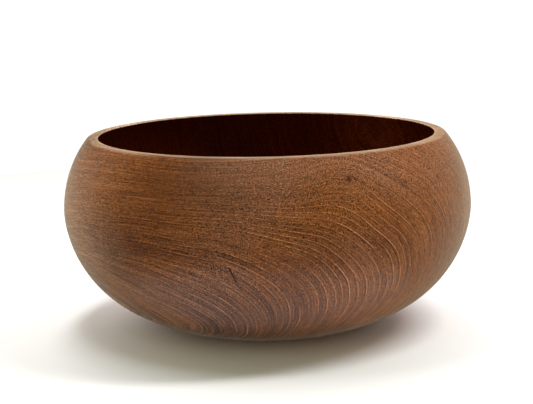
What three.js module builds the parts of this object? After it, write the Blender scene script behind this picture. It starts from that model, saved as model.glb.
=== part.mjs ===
// A turned wooden salad bowl, made from one block of wood. Millimetres, +Z up.
// The origin is the middle of the foot, on the surface that the bowl stands on.
import * as THREE from "three";

// Overall sizes
const BELLY_RADIUS = 140;
const HEIGHT = 131;
const BELLY_HEIGHT = 82; // where the bowl is widest

// Rim: a flat land with a softened outer edge and a crisper inner one
const RIM_INSET = 17.6; // how far the shoulder draws the rim in from the belly
const RIM_LAND_WIDTH = 7.5;
const OUTER_ARRIS = 1.4;
const INNER_ARRIS = 0.7;

// Wall and floor
const BELLY_WALL = 9;
const FLOOR_THICKNESS = 8.5; // above the recess under the foot

// Foot: a flat ring round a shallow recess
const FOOT_RADIUS = 60;
const FOOT_RING_WIDTH = 10;
const FOOT_RECESS = 2.5;
const FOOT_COVE = 2; // radius of the recess's corner

// How each curve leaves its end, in degrees from level
const UNDERSIDE_SLOPE = 12;
const SHOULDER_SLOPE = 51;
const INNER_SHOULDER_SLOPE = 55;

// How far each curve keeps its end's direction, as a share of the width or height that it spans
const UNDERSIDE_FULLNESS = 0.92;
const LOWER_BELLY_FULLNESS = 0.17;
const UPPER_BELLY_FULLNESS = 0.2;
const SHOULDER_FULLNESS = 0.46;
const BASIN_FULLNESS = 0.8;
const INNER_BELLY_FULLNESS = 0.42;
const INNER_UPPER_FULLNESS = 0.25;
const INNER_SHOULDER_FULLNESS = 0.42;

// Facets
const TURN_SEGMENTS = 96;
const LOWER_STEPS = 16;
const UPPER_STEPS = 9;
const CORNER_STEPS = 3;

// Finish
const OILED_BROWN = 0x80502f;
const SATIN_ROUGHNESS = 0.5;

const rimOuterRadius = BELLY_RADIUS - RIM_INSET;
const rimInnerRadius = rimOuterRadius - RIM_LAND_WIDTH;
const recessRadius = FOOT_RADIUS - FOOT_RING_WIDTH;
const basinHeight = FOOT_RECESS + FLOOR_THICKNESS;
const innerBellyRadius = BELLY_RADIUS - BELLY_WALL;

const point = (radius, height) => new THREE.Vector2(radius, height);

const sloped = (degrees) => {
  const angle = THREE.MathUtils.degToRad(degrees);
  return point(Math.cos(angle), Math.sin(angle));
};

// A curve between two points that leaves start along startWay, and end along endWay.
function sweep(start, startWay, startReach, end, endWay, endReach) {
  return new THREE.CubicBezierCurve(
    start,
    start.clone().addScaledVector(startWay, startReach),
    end.clone().addScaledVector(endWay, endReach),
    end,
  );
}

// Rounds the corner between two sides, each given as the way that leads from the corner along it.
function softCorner(corner, firstWay, secondWay, setback) {
  return new THREE.QuadraticBezierCurve(
    corner.clone().addScaledVector(firstWay, setback),
    corner,
    corner.clone().addScaledVector(secondWay, setback),
  ).getPoints(CORNER_STEPS);
}

const up = point(0, 1);
const down = point(0, -1);
const outward = point(1, 0);
const inward = point(-1, 0);

// The underside: the recess, its coved corner, and the ring that the bowl stands on.
function footProfile() {
  const cove = new THREE.EllipseCurve(
    recessRadius - FOOT_COVE,
    FOOT_RECESS - FOOT_COVE,
    FOOT_COVE,
    FOOT_COVE,
    Math.PI / 2,
    0,
    true,
  );
  return [
    point(0, FOOT_RECESS),
    ...cove.getPoints(CORNER_STEPS),
    point(recessRadius, 0),
    point(FOOT_RADIUS, 0),
  ];
}

// The outside, from the foot round the belly to the start of the rim's outer edge.
function outsideProfile() {
  const belly = point(BELLY_RADIUS, BELLY_HEIGHT);
  const rimEdge = point(rimOuterRadius, HEIGHT);
  const shoulderWay = sloped(-SHOULDER_SLOPE);
  const underside = sweep(
    point(FOOT_RADIUS, 0),
    sloped(UNDERSIDE_SLOPE),
    UNDERSIDE_FULLNESS * (BELLY_RADIUS - FOOT_RADIUS),
    belly,
    down,
    LOWER_BELLY_FULLNESS * BELLY_HEIGHT,
  );
  const edgeStart = rimEdge.clone().addScaledVector(shoulderWay, OUTER_ARRIS);
  const shoulder = sweep(
    belly,
    up,
    UPPER_BELLY_FULLNESS * (HEIGHT - BELLY_HEIGHT),
    edgeStart,
    shoulderWay,
    SHOULDER_FULLNESS * (HEIGHT - BELLY_HEIGHT),
  );
  return [
    ...underside.getPoints(LOWER_STEPS).slice(1),
    ...shoulder.getPoints(UPPER_STEPS).slice(1, -1),
  ];
}

// The rim: rounded outer edge, flat land, rounded inner edge.
function rimProfile() {
  const outerCorner = point(rimOuterRadius, HEIGHT);
  const innerCorner = point(rimInnerRadius, HEIGHT);
  return [
    ...softCorner(outerCorner, sloped(-SHOULDER_SLOPE), inward, OUTER_ARRIS),
    ...softCorner(
      innerCorner,
      outward,
      sloped(-INNER_SHOULDER_SLOPE),
      INNER_ARRIS,
    ),
  ];
}

// The inside, from the rim round the undercut belly to the middle of the floor.
function insideProfile() {
  const shoulderWay = sloped(-INNER_SHOULDER_SLOPE);
  const belly = point(innerBellyRadius, BELLY_HEIGHT);
  const edgeEnd = point(rimInnerRadius, HEIGHT).addScaledVector(
    shoulderWay,
    INNER_ARRIS,
  );
  const shoulder = sweep(
    edgeEnd,
    shoulderWay,
    INNER_SHOULDER_FULLNESS * (HEIGHT - BELLY_HEIGHT),
    belly,
    up,
    INNER_UPPER_FULLNESS * (HEIGHT - BELLY_HEIGHT),
  );
  const basin = sweep(
    belly,
    down,
    INNER_BELLY_FULLNESS * (BELLY_HEIGHT - basinHeight),
    point(0, basinHeight),
    outward,
    BASIN_FULLNESS * innerBellyRadius,
  );
  return [
    ...shoulder.getPoints(UPPER_STEPS).slice(1),
    ...basin.getPoints(LOWER_STEPS).slice(1),
  ];
}

function bowlMesh() {
  const profile = [
    ...footProfile(),
    ...outsideProfile(),
    ...rimProfile(),
    ...insideProfile(),
  ];
  const geometry = new THREE.LatheGeometry(profile, TURN_SEGMENTS);
  geometry.rotateX(Math.PI / 2); // the lathe turns about +Y
  const oiledTeak = new THREE.MeshStandardMaterial({
    color: OILED_BROWN,
    roughness: SATIN_ROUGHNESS,
    metalness: 0,
  });
  const mesh = new THREE.Mesh(geometry, oiledTeak);
  mesh.name = "bowl";
  return mesh;
}

const saladBowl = new THREE.Group();
saladBowl.add(bowlMesh());

export default saladBowl;
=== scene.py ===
# Looks for a turned teak salad bowl: fine mesh, solid wood grain, floor, lights and camera.
# Blender's lengths are metres. The bowl's profile and its wood are given in millimetres, +Z up.
import math
from collections import namedtuple

import bpy
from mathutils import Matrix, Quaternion, Vector

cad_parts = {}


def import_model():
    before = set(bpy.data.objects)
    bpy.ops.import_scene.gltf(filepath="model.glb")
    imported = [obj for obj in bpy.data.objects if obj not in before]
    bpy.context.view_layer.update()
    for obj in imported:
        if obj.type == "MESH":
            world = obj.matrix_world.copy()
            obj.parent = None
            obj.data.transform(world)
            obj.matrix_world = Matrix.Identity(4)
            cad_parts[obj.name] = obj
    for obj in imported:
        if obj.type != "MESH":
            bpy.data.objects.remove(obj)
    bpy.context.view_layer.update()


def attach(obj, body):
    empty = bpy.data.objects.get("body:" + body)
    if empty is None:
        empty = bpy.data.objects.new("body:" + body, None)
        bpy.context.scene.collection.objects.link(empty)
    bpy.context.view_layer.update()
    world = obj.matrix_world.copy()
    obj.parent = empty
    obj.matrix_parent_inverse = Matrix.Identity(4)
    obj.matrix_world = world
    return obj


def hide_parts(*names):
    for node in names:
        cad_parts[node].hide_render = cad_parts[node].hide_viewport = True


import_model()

MM = 0.001

# The bowl's profile, as the CAD part has it
BELLY_RADIUS = 140.0
HEIGHT = 131.0
BELLY_HEIGHT = 82.0
RIM_INSET = 17.6
RIM_LAND_WIDTH = 7.5
OUTER_ARRIS = 1.4
INNER_ARRIS = 0.7
BELLY_WALL = 9.0
FLOOR_THICKNESS = 8.5
FOOT_RADIUS = 60.0
FOOT_RING_WIDTH = 10.0
FOOT_RECESS = 2.5
FOOT_COVE = 2.0
UNDERSIDE_SLOPE = 12.0
SHOULDER_SLOPE = 51.0
INNER_SHOULDER_SLOPE = 55.0
UNDERSIDE_FULLNESS = 0.92
LOWER_BELLY_FULLNESS = 0.17
UPPER_BELLY_FULLNESS = 0.2
SHOULDER_FULLNESS = 0.46
BASIN_FULLNESS = 0.8
INNER_BELLY_FULLNESS = 0.42
INNER_UPPER_FULLNESS = 0.25
INNER_SHOULDER_FULLNESS = 0.42

RIM_OUTER_RADIUS = BELLY_RADIUS - RIM_INSET
RIM_INNER_RADIUS = RIM_OUTER_RADIUS - RIM_LAND_WIDTH
RECESS_RADIUS = FOOT_RADIUS - FOOT_RING_WIDTH
BASIN_HEIGHT = FOOT_RECESS + FLOOR_THICKNESS
INNER_BELLY_RADIUS = BELLY_RADIUS - BELLY_WALL
SHOULDER_RISE = HEIGHT - BELLY_HEIGHT

# Steps of the fine mesh, and the distance below which two points of the profile are one
TURN_SEGMENTS = 360
LONG_STEPS = 44
SHORT_STEPS = 26
CORNER_STEPS = 6
FLAT_STEPS = 4
SAME_POINT = 1e-4

# How the tree's layers lie in the bowl: the fibres' direction in degrees, and the pith's place beside them
FIBRE_AZIMUTH = -39.66
FIBRE_ELEVATION = -4.57
GRAIN_CENTRE = (0.0, 0.0, 60.0)
PITH_ACROSS = -170.7
PITH_UP = -136.3
# How far the pith bends away, by the square, cube and fourth power of the way along it in bend lengths
PITH_BENDS_ACROSS = (-1.9, 2.6, 0.0)
PITH_BENDS_UP = (28.6, 1.0, 4.5)
BEND_LENGTH = 100.0
# The rings aren't quite round
RING_STRETCH = -0.073
RING_SKEW = -0.134
# Every table of patches gives each patch's middle, the amount there, and the width.
# Where the distance from the pith counts as more, or as less where the layers swell outwards
LAYER_SHIFTS = (
    ((66.0, -129.1, 78.4), 9.1, 30.3),
    ((-33.6, -144.0, 87.0), -9.3, 25.3),
    ((-77.7, -116.9, 84.2), -13.5, 27.5),
    ((25.4, -119.7, 32.6), 17.5, 43.3),
    ((-129.9, -28.3, 104.8), 22.8, 35.0),
    ((-121.9, -65.9, 75.0), -14.1, 34.7),
    ((46.0, -120.0, 122.0), -9.0, 18.0),
)

# Noises in the layers: length within a layer, thickness across it, detail, roughness
STREAKS = (34.0, 0.65, 2.0, 0.55)
HAIRS = (45.0, 0.35, 0.0, 0.5)
BANDS = (30.0, 3.0, 1.0, 0.5)
DASHES = (3.5, 0.7, 0.0, 0.5)
# The same along the growth lines, with the thickness in years
RUNS = (32.0, 1 / 3.7, 1.0, 0.6)
# Other noises: scale, detail, roughness
UNEVEN_YEARS = (0.12, 1.0, 0.5)
WANDERING_YEARS = (0.04, 1.0, 0.5)
SPECKLE = (2.5, 0.0, 0.5)
FIBRES = (0.9, 2.0, 0.7)
ZONES = (1.0, 2.0, 0.5)
HUES = (0.017, 2.0, 0.5)
# How the fibres' noise is scaled along them, and the zones' noise across the layers and within them
FIBRES_ALONG = 0.1
ZONES_THROUGH = 0.05
ZONES_WITHIN = 0.008
MIDDLE_NOISE = 0.5

# The years: how thick they are, how far they wander, and where they lie closer together by how many more
RING_SPACING = 3.6
WANDER = 0.5
CROWDED_RING = 130.0
CROWDED_WIDTH = 50.0
CROWDED_COUNT = 12.0

# How strong the growth lines are: by year, along each line, and in small breaks
YEAR_STRENGTHS = (0.3, 1.2)
RUN_NOISE = (0.36, 0.52)
RUN_STRENGTHS = (0.4, 1.0)
BREAK_NOISE = (0.3, 0.7)
BREAK_STRENGTHS = (0.55, 1.25)
# They fade towards the top
CLEAR_HEIGHTS = (97.0, 112.0)
CLEAR_STRENGTHS = (1.0, 0.12)
# Where else they are weaker
CLEAR_PATCHES = (
    ((-125.0, -70.0, 85.0), -1.0, 45.0),
    ((118.0, -72.0, 105.0), -0.6, 22.0),
    ((-62.0, -120.0, 62.0), -0.45, 34.0),
    ((75.0, 110.0, 90.0), -0.65, 50.0),
)
# Shares of the year: the pale line's middle and its fading edge, and the dark band's rise and fall before it
PALE_PHASE = 0.5
PALE_EDGE = (0.01, 0.095)
DARK_RISE = (0.16, 0.38)
DARK_FALL = (0.38, 0.46)

# The tone rises outwards from the pith. As the rings lie, this also makes the bowl's right side lighter than
# its left: partly the wood's own tone, partly painted light falling from the right.
TONE_RINGS = (118.0, 172.0)
RING_TONES_AND_PAINTED_SIDE_LIGHT = (0.96, 1.18)
# How much each noise or line changes the tone
ZONE_SWING = 0.32
BAND_SWING = 0.3
STREAK_SWING = 1.35
HAIR_SWING = 2.4
FIBRE_SWING = 0.4
SPECKLE_SWING = 6.8
RIM_SPECKLE_LOSS = 4.8
DASH_NOISE = (0.66, 0.78)
DASH_DEPTH = 0.2
DARK_DEPTH = 0.72
PALE_LIFT = 2.35
# The speckle is stronger at the left end: X, and the strengths there
SPECKLED_END = (-135.0, -70.0)
SPECKLED_STRENGTHS = (1.8, 1.0)
# Where the streaks are weaker
CALM_PATCHES = (
    ((4.0, -134.0, 102.0), -0.5, 30.0),
    ((122.0, -60.0, 95.0), -0.6, 30.0),
    ((58.0, -122.0, 72.0), -0.55, 30.0),
)
# Darker or lighter patches, as a share of the tone: some are the wood's own stains, and some are painted
# light and painted shade, as marked below
STAINS_AND_PAINTED_LIGHT = (
    # Painted shade: the top of the shoulder at the front left is made darker, where the light from above
    # falls strongest
    ((-35.0, -105.0, 132.0), -0.24, 30.0),
    ((-46.0, -128.0, 105.0), 0.16, 10.0),
    ((-76.0, -112.0, 104.0), 0.22, 9.0),
    ((-100.7, -92.9, 63.3), -0.28, 13.0),
    ((43.7, -131.0, 67.3), -0.14, 11.0),
    ((90.1, -93.5, 46.2), -0.12, 14.0),
    ((-45.0, -121.0, 113.0), -0.26, 13.0),
    ((-72.0, -110.0, 114.0), -0.30, 12.0),
    ((125.0, -55.0, 96.0), -0.18, 30.0),
    ((-80.0, -114.0, 80.0), -0.32, 21.0),
    # Painted light: the left side is made lighter, where light from the left falls on it
    ((-132.0, -40.0, 100.0), 0.12, 30.0),
    ((-121.0, -20.0, 137.0), -0.28, 20.0),
    ((12.0, -118.0, 45.0), -0.14, 34.0),
    ((-6.0, -120.0, 38.0), -0.16, 15.0),
    ((-4.0, -137.0, 95.0), 0.12, 15.0),
    ((46.0, -126.0, 52.0), 0.14, 12.0),
    ((86.0, 80.0, 137.0), 0.7, 15.0),
    ((-102.0, 61.0, 136.0), 0.5, 14.0),
    ((112.0, -60.0, 128.0), 0.10, 26.0),
    ((19.0, -135.7, 65.0), -0.16, 12.0),
    ((83.0, -112.0, 89.0), -0.20, 14.0),
    ((112.0, -82.0, 70.0), -0.12, 14.0),
    # Painted shade: the back is made darker against the strong light from behind
    ((60.0, 130.0, 62.0), -0.16, 45.0),
)
# Small dark flecks on the outside, and a fissure through three places, drawn as a dark line of painted
# shade, as the mesh has no groove for it
FLECKS = (
    ((49.7, -121.5, 117.6), 0.75, 1.3),
    ((53.5, -120.0, 116.5), 0.4, 0.8),
    ((66.6, -121.7, 95.5), 0.45, 0.8),
    ((80.1, -114.5, 87.6), 0.45, 0.8),
    ((86.8, -109.2, 90.2), 0.5, 0.9),
    ((90.8, -106.5, 84.5), 0.5, 0.8),
    ((109.1, -78.9, 110.1), 0.4, 0.9),
    ((89.3, -92.2, 122.8), 0.4, 0.8),
    ((68.5, -114.9, 112.4), 0.4, 0.9),
    ((-0.6, -140.0, 80.8), 0.5, 0.9),
    ((-63.9, -105.9, 129.4), 0.5, 1.0),
    ((-86.3, -110.2, 81.4), 0.3, 2.6),
    ((-113.3, -82.1, 80.2), 0.25, 3.0),
)
FISSURE = ((-24.1, -135.8, 66.4), (-22.0, -134.8, 61.5), (-20.0, -133.7, 57.2))
FISSURE_WIDTH = 0.55
FISSURE_EDGE = (0.5, 1.6)
FISSURE_SHADE = 0.85
DEEPEST_MARK = 0.9

# Colours, linear
GREY_TEAK = (0.190, 0.066, 0.0250, 1)
GOLD_TEAK = (0.202, 0.0615, 0.0145, 1)
WORN_TEAK = (0.25, 0.140, 0.072, 1)
HUE_NOISE = (0.3, 0.7)
GOLD_SHARES = (0.1, 0.9)
# Patches that lean to gold, or to grey where the amount is below nothing
HUE_PATCHES = (
    ((-78.5, -111.5, 104.9), 0.7, 18.0),
    ((-58.6, -127.1, 79.9), 0.8, 18.0),
    ((36.0, -134.0, 88.0), 0.9, 24.0),
    ((-3.7, -139.6, 76.4), 0.6, 14.0),
    ((-35.8, -131.3, 60.4), -0.7, 16.0),
    ((34.4, -129.5, 54.7), -0.6, 20.0),
    ((-93.3, -101.9, 67.7), -0.7, 16.0),
    ((75.0, -108.0, 114.0), -0.5, 30.0),
    ((80.0, -112.0, 80.0), 0.6, 22.0),
    ((4.0, -132.0, 110.0), -0.9, 24.0),
)
# How fast green and blue fall with the tone below one, and how fast they rise above it
GREEN_POWERS = (1.5, 1.2)
BLUE_POWERS = (2.6, 1.5)
DARKEST_TONE = 0.04
# Painted light: the lower turn is made a little lighter, against the shade near the foot: heights and tones
PAINTED_LIGHT_HEIGHTS = (10.0, 40.0)
PAINTED_LIGHT_TONES = (1.14, 1.0)

# The rim is worn from some depth below the top upwards, and more so on the lip beside its inner edge
RIM_DEPTHS = (0.9, 0.15)
LIP_OFFSETS = (0.7, 2.9)
RIM_WEAR = 0.55
LIP_WEAR = 0.3
RIM_TONES = (1.02, 1.19)
LIP_LIFT = 0.10
# A painted highlight: the lip is made lightest at the front
LIP_HIGHLIGHT_PATCHES = (
    ((0.0, -118.0, 131.0), 1.1, 60.0),
)

# The inside has the same wood, painted darker and redder: mostly painted shade for the undercut hollow that
# the light from above misses, partly a darker oiled finish.
INSIDE_SHADE = 0.27
INSIDE_STRENGTH = 0.6
INSIDE_SHADE_TINT = (0.9, 0.5, 0.3, 1)
INSIDE_GLOSS = 0.1
# Lighter and darker patches on the inside, as a share of its tone: much lighter at the back right, darker at
# the left, lighter at the right
INSIDE_TONE_PATCHES = (
    ((84.0, 88.0, 114.0), 1.3, 26.0),
    ((-108.0, 30.0, 108.0), -0.35, 30.0),
    ((96.0, -30.0, 100.0), 0.4, 30.0),
)

# The oiled surface: its roughness by streak and on the rim, and its relief
STREAK_NOISE = (0.3, 0.7)
STREAK_ROUGHNESSES = (0.31, 0.26)
RIM_ROUGHNESS = 0.06
OIL_IOR = 1.45
BUMP_STRENGTH = 0.25
BUMP_DEPTH = 0.00012
STREAK_RELIEF = 0.6
SPECKLE_RELIEF = 0.4
LINE_RELIEF = 0.2

# Light of the room on matt surfaces, from behind the bowl, from the viewer's side and from the left
BACK_GLOW = 2.24
FRONT_GLOW = 0.60
LEFT_GLOW = 0.45
BACK_TINT = (1.0, 1.0, 1.06)
FRONT_TINT = (1.0, 1.0, 0.70)

# What the satin surface mirrors: soft panels in some directions, over a bright floor
MIRRORED_PANELS = (
    ((0.86, -0.17, 0.49), 0.70, 0.22),
    ((-0.05, -0.36, 0.93), 1.05, 0.36),
    ((-0.82, 0.50, -0.26), 0.72, 0.36),
    ((0.79, 0.57, -0.22), 0.62, 0.40),
    ((0.0, 0.98, 0.20), 0.40, 0.22),
    ((-0.38, 0.91, -0.14), 0.42, 0.22),
    ((0.38, 0.91, -0.14), 0.42, 0.22),
)
MIRRORED_TINT = (1.0, 1.0, 0.78)
MIRRORED_FLOOR = 0.80
MIRRORED_FLOOR_FALL = 1.3
MIRRORED_FLOOR_DEPTHS = (0.60, 0.74)
MIRRORED_FLOOR_TINT = (0.94, 1.0, 1.06)

# What the camera sees of the room itself
SEEN_ROOM = (1.1, 1.1, 1.1, 1)

# Floor
FLOOR_RADIUS = 0.75
FLOOR_SIDES = 96
FLOOR_COLOUR = (0.96, 0.965, 0.96, 1)
FLOOR_ROUGHNESS = 0.9

# Long level lamps that shine straight down: name, start, end, width, height, power
LAMPS = (
    ("right_light", (0.299, -0.030), (0.925, 0.000), 0.137, 0.836, 7.6),
    ("left_light", (-0.109, 0.360), (-0.207, -0.150), 0.112, 0.708, 2.7),
)

# Camera
LOOK_AT = Vector((-0.00066, 0.0, 0.08239))
CAMERA_DISTANCE = 1.0
CAMERA_ELEVATION = 10.13
CAMERA_ROLL = -1.20
LENS = 97.26
SENSOR = 36.0

UP = Vector((0, 1))
DOWN = Vector((0, -1))
OUTWARD = Vector((1, 0))
INWARD = Vector((-1, 0))


def sloped(degrees):
    angle = math.radians(degrees)
    return Vector((math.cos(angle), math.sin(angle)))


def sweep(start, start_way, start_reach, end, end_way, end_reach, steps):
    """A curve between two points that leaves start along start_way, and end along end_way."""
    start_pull = start + start_way * start_reach
    end_pull = end + end_way * end_reach
    points = []
    for k in range(steps + 1):
        t = k / steps
        s = 1 - t
        first_half = start * s ** 3 + start_pull * (3 * s * s * t)
        points.append(first_half + end_pull * (3 * s * t * t) + end * t ** 3)
    return points


def straight(start, end, steps):
    return [start.lerp(end, k / steps) for k in range(steps + 1)]


def soft_corner(corner, first_way, second_way, setback):
    """Rounds the corner between two sides, each given as the way that leads from the corner along it."""
    first = corner + first_way * setback
    last = corner + second_way * setback
    points = []
    for k in range(CORNER_STEPS + 1):
        t = k / CORNER_STEPS
        points.append(first * (1 - t) ** 2 + corner * (2 * t * (1 - t)) + last * t * t)
    return points


def cove():
    """The rounded corner of the recess under the foot."""
    points = []
    for k in range(CORNER_STEPS + 1):
        angle = math.pi / 2 * (1 - k / CORNER_STEPS)
        radius = RECESS_RADIUS - FOOT_COVE + FOOT_COVE * math.cos(angle)
        height = FOOT_RECESS - FOOT_COVE + FOOT_COVE * math.sin(angle)
        points.append(Vector((radius, height)))
    return points


def foot_curves():
    """The recess, its rounded corner, and the ring that the bowl stands on."""
    corner = cove()
    return [
        straight(Vector((0, FOOT_RECESS)), corner[0], SHORT_STEPS),
        corner,
        straight(Vector((RECESS_RADIUS, 0)), Vector((FOOT_RADIUS, 0)), FLAT_STEPS),
    ]


def outside_curves():
    """The underside and the shoulder, up to the start of the rim's outer edge."""
    belly = Vector((BELLY_RADIUS, BELLY_HEIGHT))
    shoulder_way = sloped(-SHOULDER_SLOPE)
    edge_start = Vector((RIM_OUTER_RADIUS, HEIGHT)) + shoulder_way * OUTER_ARRIS
    underside_reach = UNDERSIDE_FULLNESS * (BELLY_RADIUS - FOOT_RADIUS)
    lower_reach = LOWER_BELLY_FULLNESS * BELLY_HEIGHT
    upper_reach = UPPER_BELLY_FULLNESS * SHOULDER_RISE
    shoulder_reach = SHOULDER_FULLNESS * SHOULDER_RISE
    foot_edge = Vector((FOOT_RADIUS, 0))
    return [
        sweep(foot_edge, sloped(UNDERSIDE_SLOPE), underside_reach, belly, DOWN, lower_reach, LONG_STEPS),
        sweep(belly, UP, upper_reach, edge_start, shoulder_way, shoulder_reach, SHORT_STEPS),
    ]


def rim_curves():
    """The rim: rounded outer edge, flat land, rounded inner edge."""
    outer_corner = Vector((RIM_OUTER_RADIUS, HEIGHT))
    inner_corner = Vector((RIM_INNER_RADIUS, HEIGHT))
    land_start = outer_corner + INWARD * OUTER_ARRIS
    land_end = inner_corner + OUTWARD * INNER_ARRIS
    return [
        soft_corner(outer_corner, sloped(-SHOULDER_SLOPE), INWARD, OUTER_ARRIS),
        straight(land_start, land_end, FLAT_STEPS),
        soft_corner(inner_corner, OUTWARD, sloped(-INNER_SHOULDER_SLOPE), INNER_ARRIS),
    ]


def inside_curves():
    """The inside, from the rim round the undercut belly to the middle of the floor."""
    belly = Vector((INNER_BELLY_RADIUS, BELLY_HEIGHT))
    shoulder_way = sloped(-INNER_SHOULDER_SLOPE)
    edge_end = Vector((RIM_INNER_RADIUS, HEIGHT)) + shoulder_way * INNER_ARRIS
    shoulder_reach = INNER_SHOULDER_FULLNESS * SHOULDER_RISE
    upper_reach = INNER_UPPER_FULLNESS * SHOULDER_RISE
    lower_reach = INNER_BELLY_FULLNESS * (BELLY_HEIGHT - BASIN_HEIGHT)
    basin_reach = BASIN_FULLNESS * INNER_BELLY_RADIUS
    floor_middle = Vector((0, BASIN_HEIGHT))
    return [
        sweep(edge_end, shoulder_way, shoulder_reach, belly, UP, upper_reach, SHORT_STEPS),
        sweep(belly, DOWN, lower_reach, floor_middle, OUTWARD, basin_reach, LONG_STEPS),
    ]


def joined(curves):
    """One run of points from curves that each start where the one before ends."""
    points = []
    for curve in curves:
        for point in curve:
            if points and (points[-1] - point).length < SAME_POINT:
                continue
            points.append(point)
    return points


def turned(section, inside_start):
    """The section turned about the Z axis: its vertices, its faces, and which faces are on the inside."""
    vertices = [Vector((0, 0, section[0].y * MM))]
    for point in section[1:-1]:
        for k in range(TURN_SEGMENTS):
            angle = 2 * math.pi * k / TURN_SEGMENTS
            radius = point.x * MM
            vertices.append(Vector((radius * math.cos(angle), radius * math.sin(angle), point.y * MM)))
    vertices.append(Vector((0, 0, section[-1].y * MM)))
    last = len(vertices) - 1
    last_row = len(section) - 2
    faces = []
    inside = []
    for k in range(TURN_SEGMENTS):
        after = (k + 1) % TURN_SEGMENTS
        faces.append((0, 1 + after, 1 + k))
        inside.append(False)
        # Each row of vertices has the number of its point in the section
        for row in range(1, last_row):
            low = 1 + (row - 1) * TURN_SEGMENTS
            high = low + TURN_SEGMENTS
            faces.append((low + k, low + after, high + after, high + k))
            inside.append(row + 1 >= inside_start)
        low = 1 + (last_row - 1) * TURN_SEGMENTS
        faces.append((low + k, low + after, last))
        inside.append(True)
    return vertices, faces, inside


def bowl_piece():
    """The turned bowl, with its own material on the inside."""
    outer_curves = foot_curves() + outside_curves() + rim_curves()
    section = joined(outer_curves + inside_curves())
    vertices, faces, inside = turned(section, len(joined(outer_curves)))
    mesh = bpy.data.meshes.new("turned_bowl")
    mesh.from_pydata(vertices, [], faces)
    mesh.update()
    mesh.shade_smooth()
    mesh.materials.append(teak("oiled_teak", inside=False))
    mesh.materials.append(teak("oiled_teak_inside", inside=True))
    for face, is_inside in zip(mesh.polygons, inside):
        face.material_index = int(is_inside)
    bowl = bpy.data.objects.new("turned_bowl", mesh)
    bpy.context.scene.collection.objects.link(bowl)
    return bowl


class Graph:
    """Short ways to add nodes to one node tree."""

    def __init__(self, tree):
        self.tree = tree
        tree.nodes.clear()

    def add(self, kind, **settings):
        node = self.tree.nodes.new(kind)
        for name, value in settings.items():
            setattr(node, name, value)
        return node

    def feed(self, socket, value):
        if isinstance(value, bpy.types.NodeSocket):
            self.tree.links.new(value, socket)
        else:
            socket.default_value = value

    def maths(self, operation, *values):
        node = self.add("ShaderNodeMath", operation=operation)
        for socket, value in zip(node.inputs, values):
            self.feed(socket, value)
        return node.outputs[0]

    def plus(self, a, b):
        return self.maths("ADD", a, b)

    def minus(self, a, b):
        return self.maths("SUBTRACT", a, b)

    def times(self, a, b):
        return self.maths("MULTIPLY", a, b)

    def lowest(self, a, b):
        return self.maths("MINIMUM", a, b)

    def highest(self, a, b):
        return self.maths("MAXIMUM", a, b)

    def clamped(self, value):
        return self.lowest(self.highest(value, 0.0), 1.0)

    def swing(self, noise, amount):
        """The noise about its middle, times the amount."""
        return self.times(self.minus(noise, MIDDLE_NOISE), amount)

    def vector(self, operation, *values):
        node = self.add("ShaderNodeVectorMath", operation=operation)
        for socket, value in zip(node.inputs, values):
            self.feed(socket, value)
        wants_number = operation in ("DOT_PRODUCT", "DISTANCE", "LENGTH")
        return node.outputs["Value" if wants_number else "Vector"]

    def scaled(self, value, factor):
        node = self.add("ShaderNodeVectorMath", operation="SCALE")
        self.feed(node.inputs[0], value)
        self.feed(node.inputs["Scale"], factor)
        return node.outputs["Vector"]

    def combine(self, x, y, z):
        node = self.add("ShaderNodeCombineXYZ")
        for socket, value in zip(node.inputs, (x, y, z)):
            self.feed(socket, value)
        return node.outputs[0]

    def split(self, value):
        node = self.add("ShaderNodeSeparateXYZ")
        self.feed(node.inputs[0], value)
        return node.outputs

    def noise(self, place, scale, detail, roughness, dimensions="3D", fourth=None):
        node = self.add("ShaderNodeTexNoise", noise_dimensions=dimensions)
        self.feed(node.inputs["W" if dimensions == "1D" else "Vector"], place)
        if fourth is not None:
            self.feed(node.inputs["W"], fourth)
        node.inputs["Scale"].default_value = scale
        node.inputs["Detail"].default_value = detail
        node.inputs["Roughness"].default_value = roughness
        return node.outputs[0]

    def between(self, value, edges, results=(0.0, 1.0), smooth=True):
        """Goes from the first result to the second as the value goes from the first edge to the second."""
        node = self.add("ShaderNodeMapRange", interpolation_type="SMOOTHSTEP" if smooth else "LINEAR")
        self.feed(node.inputs["Value"], value)
        self.feed(node.inputs["From Min"], edges[0])
        self.feed(node.inputs["From Max"], edges[1])
        self.feed(node.inputs["To Min"], results[0])
        self.feed(node.inputs["To Max"], results[1])
        return node.outputs[0]

    def mix(self, share, a, b, blend="MIX"):
        node = self.add("ShaderNodeMix", data_type="RGBA", blend_type=blend)
        self.feed(node.inputs["Factor"], share)
        self.feed(node.inputs[6], a)
        self.feed(node.inputs[7], b)
        return node.outputs[2]

    def patch(self, place, middle, amount, width):
        """The amount at the middle, fading to nothing about two widths away."""
        away = self.vector("DISTANCE", place, middle)
        fade = self.maths("EXPONENT", self.times(self.times(away, away), -1 / (2 * width * width)))
        return self.times(fade, amount)

    def with_patches(self, start, place, patches):
        """The start with the amount of each patch added."""
        total = start
        for patch in patches:
            total = self.plus(total, self.patch(place, *patch))
        return total

    def changed_by_patches(self, start, place, patches):
        """The start, raised or lowered by each patch's share of it."""
        total = start
        for patch in patches:
            total = self.times(total, self.plus(1.0, self.patch(place, *patch)))
        return total


# Place in millimetres, distance from the pith, and the fibres' across, up and along coordinates
Grain = namedtuple("Grain", "place ring across up along")


def fibre_axes():
    """Unit vectors along the fibres, across them and level, and across them and upwards."""
    azimuth = math.radians(FIBRE_AZIMUTH)
    elevation = math.radians(FIBRE_ELEVATION)
    reach = math.cos(elevation)
    along = Vector((reach * math.cos(azimuth), reach * math.sin(azimuth), math.sin(elevation)))
    level = Vector((-math.sin(azimuth), math.cos(azimuth), 0))
    return along, level, along.cross(level)


def bend(graph, along, factors):
    """How far the pith has bent away: the factors are of along's square, cube and fourth power."""
    second, third, fourth = factors
    total = graph.plus(graph.times(fourth, along), third)
    total = graph.plus(graph.times(total, along), second)
    return graph.times(total, graph.times(along, along))


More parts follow.
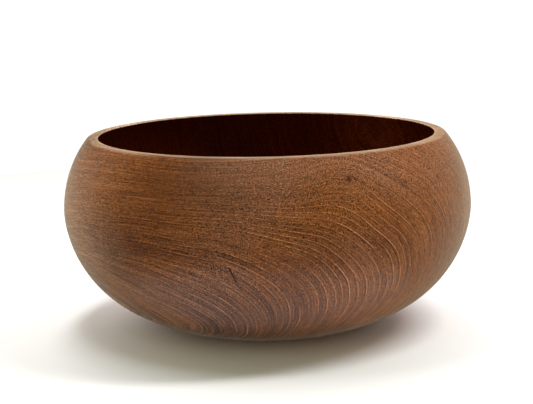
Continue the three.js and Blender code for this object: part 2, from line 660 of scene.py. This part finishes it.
def grain_space(graph):
    """Where a place lies in the tree, whose pith bends and whose layers swell."""
    place = graph.scaled(graph.add("ShaderNodeTexCoord").outputs["Object"], 1 / MM)
    centred = graph.vector("SUBTRACT", place, GRAIN_CENTRE)
    along, level, up = (graph.vector("DOT_PRODUCT", centred, axis) for axis in fibre_axes())
    stretch = graph.times(along, 1 / BEND_LENGTH)
    across = graph.minus(level, graph.plus(bend(graph, stretch, PITH_BENDS_ACROSS), PITH_ACROSS))
    height = graph.minus(up, graph.plus(bend(graph, stretch, PITH_BENDS_UP), PITH_UP))
    across_part = graph.times(across, across)
    height_part = graph.times(graph.times(height, height), math.exp(2 * RING_STRETCH))
    skewed_part = graph.times(graph.times(across, height), 2 * RING_SKEW)
    ring = graph.maths("SQRT", graph.plus(across_part, graph.plus(height_part, skewed_part)))
    ring = graph.with_patches(ring, place, LAYER_SHIFTS)
    return Grain(place, ring, across, height, along)


def layered(graph, place, depth, noise):
    """Noise that is long within the tree's layers and thin across them."""
    length, thickness, detail, roughness = noise
    flat = graph.scaled(place, 1 / length)
    return graph.noise(flat, 1.0, detail, roughness, "4D", graph.times(depth, 1 / thickness))


def counted_years(graph, grain):
    """How many years the tree had when it made this place's wood."""
    uneven = graph.noise(grain.ring, *UNEVEN_YEARS, "1D")
    wander = graph.times(graph.noise(grain.place, *WANDERING_YEARS), WANDER)
    years = graph.plus(graph.times(grain.ring, 1 / RING_SPACING), graph.plus(uneven, wander))
    crowding = graph.times(graph.minus(grain.ring, CROWDED_RING), 1 / CROWDED_WIDTH)
    return graph.plus(years, graph.times(graph.maths("TANH", crowding), CROWDED_COUNT))


def line_strength(graph, grain, year, speckle):
    """How clear the year's line is at this place."""
    luck = graph.add("ShaderNodeTexWhiteNoise", noise_dimensions="1D")
    graph.feed(luck.inputs["W"], year)
    strength = graph.between(luck.outputs["Value"], (0.0, 1.0), YEAR_STRENGTHS, smooth=False)
    run = layered(graph, grain.place, year, RUNS)
    strength = graph.times(strength, graph.between(run, RUN_NOISE, RUN_STRENGTHS))
    height = graph.split(grain.place)[2]
    strength = graph.times(strength, graph.between(height, CLEAR_HEIGHTS, CLEAR_STRENGTHS))
    strength = graph.changed_by_patches(strength, grain.place, CLEAR_PATCHES)
    return graph.times(strength, graph.between(speckle, BREAK_NOISE, BREAK_STRENGTHS, smooth=False))


def growth_lines(graph, grain, speckle):
    """The thin pale line that starts each year's layer, and the dark band that ends the one before it."""
    counted = counted_years(graph, grain)
    year = graph.maths("FLOOR", counted)
    phase = graph.minus(counted, year)
    strength = line_strength(graph, grain, year, speckle)
    from_line = graph.maths("ABSOLUTE", graph.minus(phase, PALE_PHASE))
    pale = graph.between(from_line, PALE_EDGE, (1.0, 0.0))
    dark = graph.times(graph.between(phase, DARK_RISE), graph.between(phase, DARK_FALL, (1.0, 0.0)))
    return graph.times(pale, strength), graph.times(dark, strength)


def beside(graph, place, start, end):
    """Distance from the straight line between two places."""
    line = Vector(end) - Vector(start)
    from_start = graph.vector("SUBTRACT", place, start)
    share = graph.times(graph.vector("DOT_PRODUCT", from_start, line), 1 / line.length_squared)
    return graph.vector("DISTANCE", from_start, graph.scaled(line, graph.clamped(share)))


def marks(graph, place):
    """Darkness of the small flecks, and the painted shade of the fissure."""
    flecks = graph.with_patches(0.0, place, FLECKS)
    first, second, third = FISSURE
    away = graph.lowest(beside(graph, place, first, second), beside(graph, place, second, third))
    edges = [FISSURE_WIDTH * share for share in FISSURE_EDGE]
    # Painted shade in the fissure
    crack = graph.between(away, edges, (FISSURE_SHADE, 0.0))
    return graph.lowest(graph.plus(flecks, crack), DEEPEST_MARK)


def rim_masks(graph, place):
    """One on the rim's land, and one on the lip along its inner edge."""
    x, y, height = graph.split(place)
    radius = graph.vector("LENGTH", graph.combine(x, y, 0.0))
    rim = graph.between(height, [HEIGHT - depth for depth in RIM_DEPTHS])
    lip = graph.between(radius, [RIM_INNER_RADIUS + offset for offset in LIP_OFFSETS], (1.0, 0.0))
    return rim, graph.times(rim, lip)


def wood_colour(graph, place, rim, lip):
    """Between grey and gold by place, and paler where the rim is worn."""
    gold = graph.between(graph.noise(place, *HUES), HUE_NOISE, GOLD_SHARES)
    gold = graph.clamped(graph.with_patches(gold, place, HUE_PATCHES))
    colour = graph.mix(gold, GREY_TEAK, GOLD_TEAK)
    wear = graph.plus(graph.times(rim, RIM_WEAR), graph.times(lip, LIP_WEAR))
    return graph.mix(wear, colour, WORN_TEAK)


def layer_tone(graph, grain, streaks, strength):
    """Lightness of the wood by its layers and fibres."""
    through = graph.times(grain.ring, ZONES_THROUGH)
    within = [graph.times(value, ZONES_WITHIN) for value in (grain.along, grain.across)]
    zone = graph.noise(graph.combine(through, *within), *ZONES)
    fibre_place = graph.combine(grain.across, grain.up, graph.times(grain.along, FIBRES_ALONG))
    fibre = graph.noise(fibre_place, *FIBRES)
    bands = layered(graph, grain.place, grain.ring, BANDS)
    hairs = layered(graph, grain.place, grain.ring, HAIRS)
    calm = graph.with_patches(strength, grain.place, CALM_PATCHES)
    # Rising with the ring: partly the wood's own tone, partly painted light from the right
    tone = graph.between(grain.ring, TONE_RINGS, RING_TONES_AND_PAINTED_SIDE_LIGHT)
    tone = graph.plus(tone, graph.swing(zone, ZONE_SWING))
    tone = graph.plus(tone, graph.swing(bands, BAND_SWING))
    tone = graph.plus(tone, graph.times(graph.swing(streaks, STREAK_SWING), calm))
    tone = graph.plus(tone, graph.times(graph.swing(hairs, HAIR_SWING), calm))
    return graph.plus(tone, graph.swing(fibre, FIBRE_SWING))


def speckled(graph, tone, grain, speckle, rim):
    """The tone with its short dark dashes, and fine speckle that is weaker on the rim."""
    x = graph.split(grain.place)[0]
    swing = graph.minus(SPECKLE_SWING, graph.times(rim, RIM_SPECKLE_LOSS))
    grit = graph.times(graph.swing(speckle, swing), graph.between(x, SPECKLED_END, SPECKLED_STRENGTHS))
    dashes = graph.between(layered(graph, grain.place, grain.ring, DASHES), DASH_NOISE)
    return graph.minus(graph.plus(tone, grit), graph.times(dashes, DASH_DEPTH))


def worn(graph, tone, place, rim, lip):
    """The tone, lighter on the worn rim and its lip, with a painted highlight on the lip, strongest at the
    front.
    """
    tone = graph.times(tone, graph.between(rim, (0.0, 1.0), RIM_TONES, smooth=False))
    # Wear along the lip, and a painted highlight on it at the front
    lip_lift_and_highlight = graph.with_patches(LIP_LIFT, place, LIP_HIGHLIGHT_PATCHES)
    return graph.times(tone, graph.plus(1.0, graph.times(lip, lip_lift_and_highlight)))


def tinted_tone(graph, tone):
    """The tone as a colour, whose green and blue follow it by powers."""
    channels = [tone]
    for powers in (GREEN_POWERS, BLUE_POWERS):
        below, above = (graph.maths("POWER", tone, power) for power in powers)
        channels.append(graph.lowest(below, above))
    return graph.combine(*channels)


def satin_shader(graph, streaks, speckle, dark, rim):
    """The surface's gloss and relief."""
    shader = graph.add("ShaderNodeBsdfPrincipled")
    shader.inputs["IOR"].default_value = OIL_IOR
    roughness = graph.between(streaks, STREAK_NOISE, STREAK_ROUGHNESSES)
    graph.feed(shader.inputs["Roughness"], graph.plus(roughness, graph.times(rim, RIM_ROUGHNESS)))
    bump = graph.add("ShaderNodeBump")
    bump.inputs["Strength"].default_value = BUMP_STRENGTH
    bump.inputs["Distance"].default_value = BUMP_DEPTH
    relief = graph.plus(graph.times(streaks, STREAK_RELIEF), graph.times(speckle, SPECKLE_RELIEF))
    graph.feed(bump.inputs["Height"], graph.minus(relief, graph.times(dark, LINE_RELIEF)))
    graph.feed(shader.inputs["Normal"], bump.outputs[0])
    output = graph.add("ShaderNodeOutputMaterial")
    graph.feed(output.inputs["Surface"], shader.outputs[0])
    return shader


def teak(name, inside):
    """Oiled teak as one block of wood, worked out from the place in it."""
    material = bpy.data.materials.new(name)
    material.use_nodes = True
    graph = Graph(material.node_tree)
    grain = grain_space(graph)
    place = grain.place
    speckle = graph.noise(place, *SPECKLE)
    streaks = layered(graph, place, grain.ring, STREAKS)
    pale, dark = growth_lines(graph, grain, speckle)
    rim, lip = rim_masks(graph, place)
    strength = INSIDE_STRENGTH if inside else 1.0

    tone = layer_tone(graph, grain, streaks, strength)
    tone = speckled(graph, tone, grain, speckle, rim)
    tone = graph.minus(tone, graph.times(dark, DARK_DEPTH * strength))
    tone = graph.plus(tone, graph.times(pale, PALE_LIFT * strength))
    # Stains, with painted light and painted shade on the outside; lighter and darker patches on the inside
    tone = graph.changed_by_patches(tone, place, INSIDE_TONE_PATCHES if inside else STAINS_AND_PAINTED_LIGHT)
    # Wear on the rim, and a painted highlight on the lip at the front
    tone = worn(graph, tone, place, rim, lip)
    colour = wood_colour(graph, place, rim, lip)
    # Painted shade inside: darker and redder, partly a darker oiled finish
    if inside:
        colour = graph.mix(1.0, colour, INSIDE_SHADE_TINT, "MULTIPLY")
        tone = graph.times(tone, INSIDE_SHADE)
    else:
        # Dark flecks, and painted shade in the fissure
        tone = graph.times(tone, graph.minus(1.0, marks(graph, place)))
    tone = graph.highest(tone, DARKEST_TONE)
    # Painted light on the lower turn, near the foot
    tone = graph.times(tone, graph.between(graph.split(place)[2], PAINTED_LIGHT_HEIGHTS, PAINTED_LIGHT_TONES))

    shader = satin_shader(graph, streaks, speckle, dark, rim)
    graph.feed(shader.inputs["Base Color"], graph.vector("MULTIPLY", colour, tinted_tone(graph, tone)))
    if inside:
        shader.inputs["Specular IOR Level"].default_value = INSIDE_GLOSS
    return material


def floor():
    corners = []
    for k in range(FLOOR_SIDES):
        angle = 2 * math.pi * k / FLOOR_SIDES
        corners.append((FLOOR_RADIUS * math.cos(angle), FLOOR_RADIUS * math.sin(angle), 0))
    mesh = bpy.data.meshes.new("studio_floor")
    mesh.from_pydata(corners, [], [tuple(range(FLOOR_SIDES))])
    material = bpy.data.materials.new("white_paper")
    material.use_nodes = True
    shader = material.node_tree.nodes["Principled BSDF"]
    shader.inputs["Base Color"].default_value = FLOOR_COLOUR
    shader.inputs["Roughness"].default_value = FLOOR_ROUGHNESS
    mesh.materials.append(material)
    plane = bpy.data.objects.new("studio_floor", mesh)
    bpy.context.scene.collection.objects.link(plane)
    plane.visible_glossy = False


def lamp(name, start, end, width, height, power):
    """A long level lamp above the floor that shines straight down."""
    start, end = Vector(start), Vector(end)
    light = bpy.data.lights.new(name, "AREA")
    light.shape = "RECTANGLE"
    light.size = (end - start).length
    light.size_y = width
    light.energy = power
    holder = bpy.data.objects.new(name, light)
    middle = (start + end) / 2
    holder.location = (middle.x, middle.y, height)
    holder.rotation_euler = (0, 0, math.atan2(end.y - start.y, end.x - start.x))
    holder.visible_glossy = False
    bpy.context.scene.collection.objects.link(holder)


def room_glow(graph, way):
    """The room's light on matt surfaces, by direction."""
    x, y = graph.split(way)[:2]
    back = graph.times(graph.highest(y, 0.0), BACK_GLOW)
    front = graph.times(graph.highest(graph.times(y, -1), 0.0), FRONT_GLOW)
    left = graph.times(graph.highest(graph.times(x, -1), 0.0), LEFT_GLOW)
    front_glow = graph.scaled(FRONT_TINT, graph.plus(front, left))
    return graph.vector("ADD", graph.scaled(BACK_TINT, back), front_glow)


def mirrored_room(graph, way):
    """What the satin surface mirrors, by direction."""
    y, z = graph.split(way)[1:]
    depth = graph.between(graph.times(z, -1), MIRRORED_FLOOR_DEPTHS)
    fall = graph.times(graph.highest(y, 0.0), MIRRORED_FLOOR_FALL)
    floor_shine = graph.times(depth, graph.highest(graph.minus(MIRRORED_FLOOR, fall), 0.0))
    panel_shine = graph.with_patches(0.0, way, MIRRORED_PANELS)
    mirrored_floor = graph.scaled(MIRRORED_FLOOR_TINT, floor_shine)
    return graph.vector("ADD", graph.scaled(MIRRORED_TINT, panel_shine), mirrored_floor)


def world():
    """A room that looks plain white, lights matt surfaces one way and is mirrored another way."""
    studio = bpy.data.worlds.new("studio")
    bpy.context.scene.world = studio
    studio.use_nodes = True
    graph = Graph(studio.node_tree)
    way = graph.add("ShaderNodeTexCoord").outputs["Generated"]
    kind = graph.add("ShaderNodeLightPath")
    shine = graph.mix(kind.outputs["Is Glossy Ray"], room_glow(graph, way), mirrored_room(graph, way))
    shine = graph.mix(kind.outputs["Is Camera Ray"], shine, SEEN_ROOM)
    background = graph.add("ShaderNodeBackground")
    graph.feed(background.inputs["Color"], shine)
    output = graph.add("ShaderNodeOutputWorld")
    graph.feed(output.inputs["Surface"], background.outputs[0])


def camera():
    elevation = math.radians(CAMERA_ELEVATION)
    back = Vector((0, -math.cos(elevation), math.sin(elevation)))
    data = bpy.data.cameras.new("camera")
    data.lens = LENS
    data.sensor_width = SENSOR
    eye = bpy.data.objects.new("camera", data)
    eye.location = LOOK_AT + back * CAMERA_DISTANCE
    eye.rotation_mode = "QUATERNION"
    roll = Quaternion((0, 0, 1), math.radians(CAMERA_ROLL))
    eye.rotation_quaternion = (-back).to_track_quat("-Z", "Y") @ roll
    bpy.context.scene.collection.objects.link(eye)
    bpy.context.scene.camera = eye


def main():
    camera()
    bowl = bowl_piece()
    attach(bowl, "root")
    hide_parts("bowl")
    floor()
    for settings in LAMPS:
        lamp(*settings)
    world()
    bpy.context.scene.view_settings.view_transform = "Standard"


main()
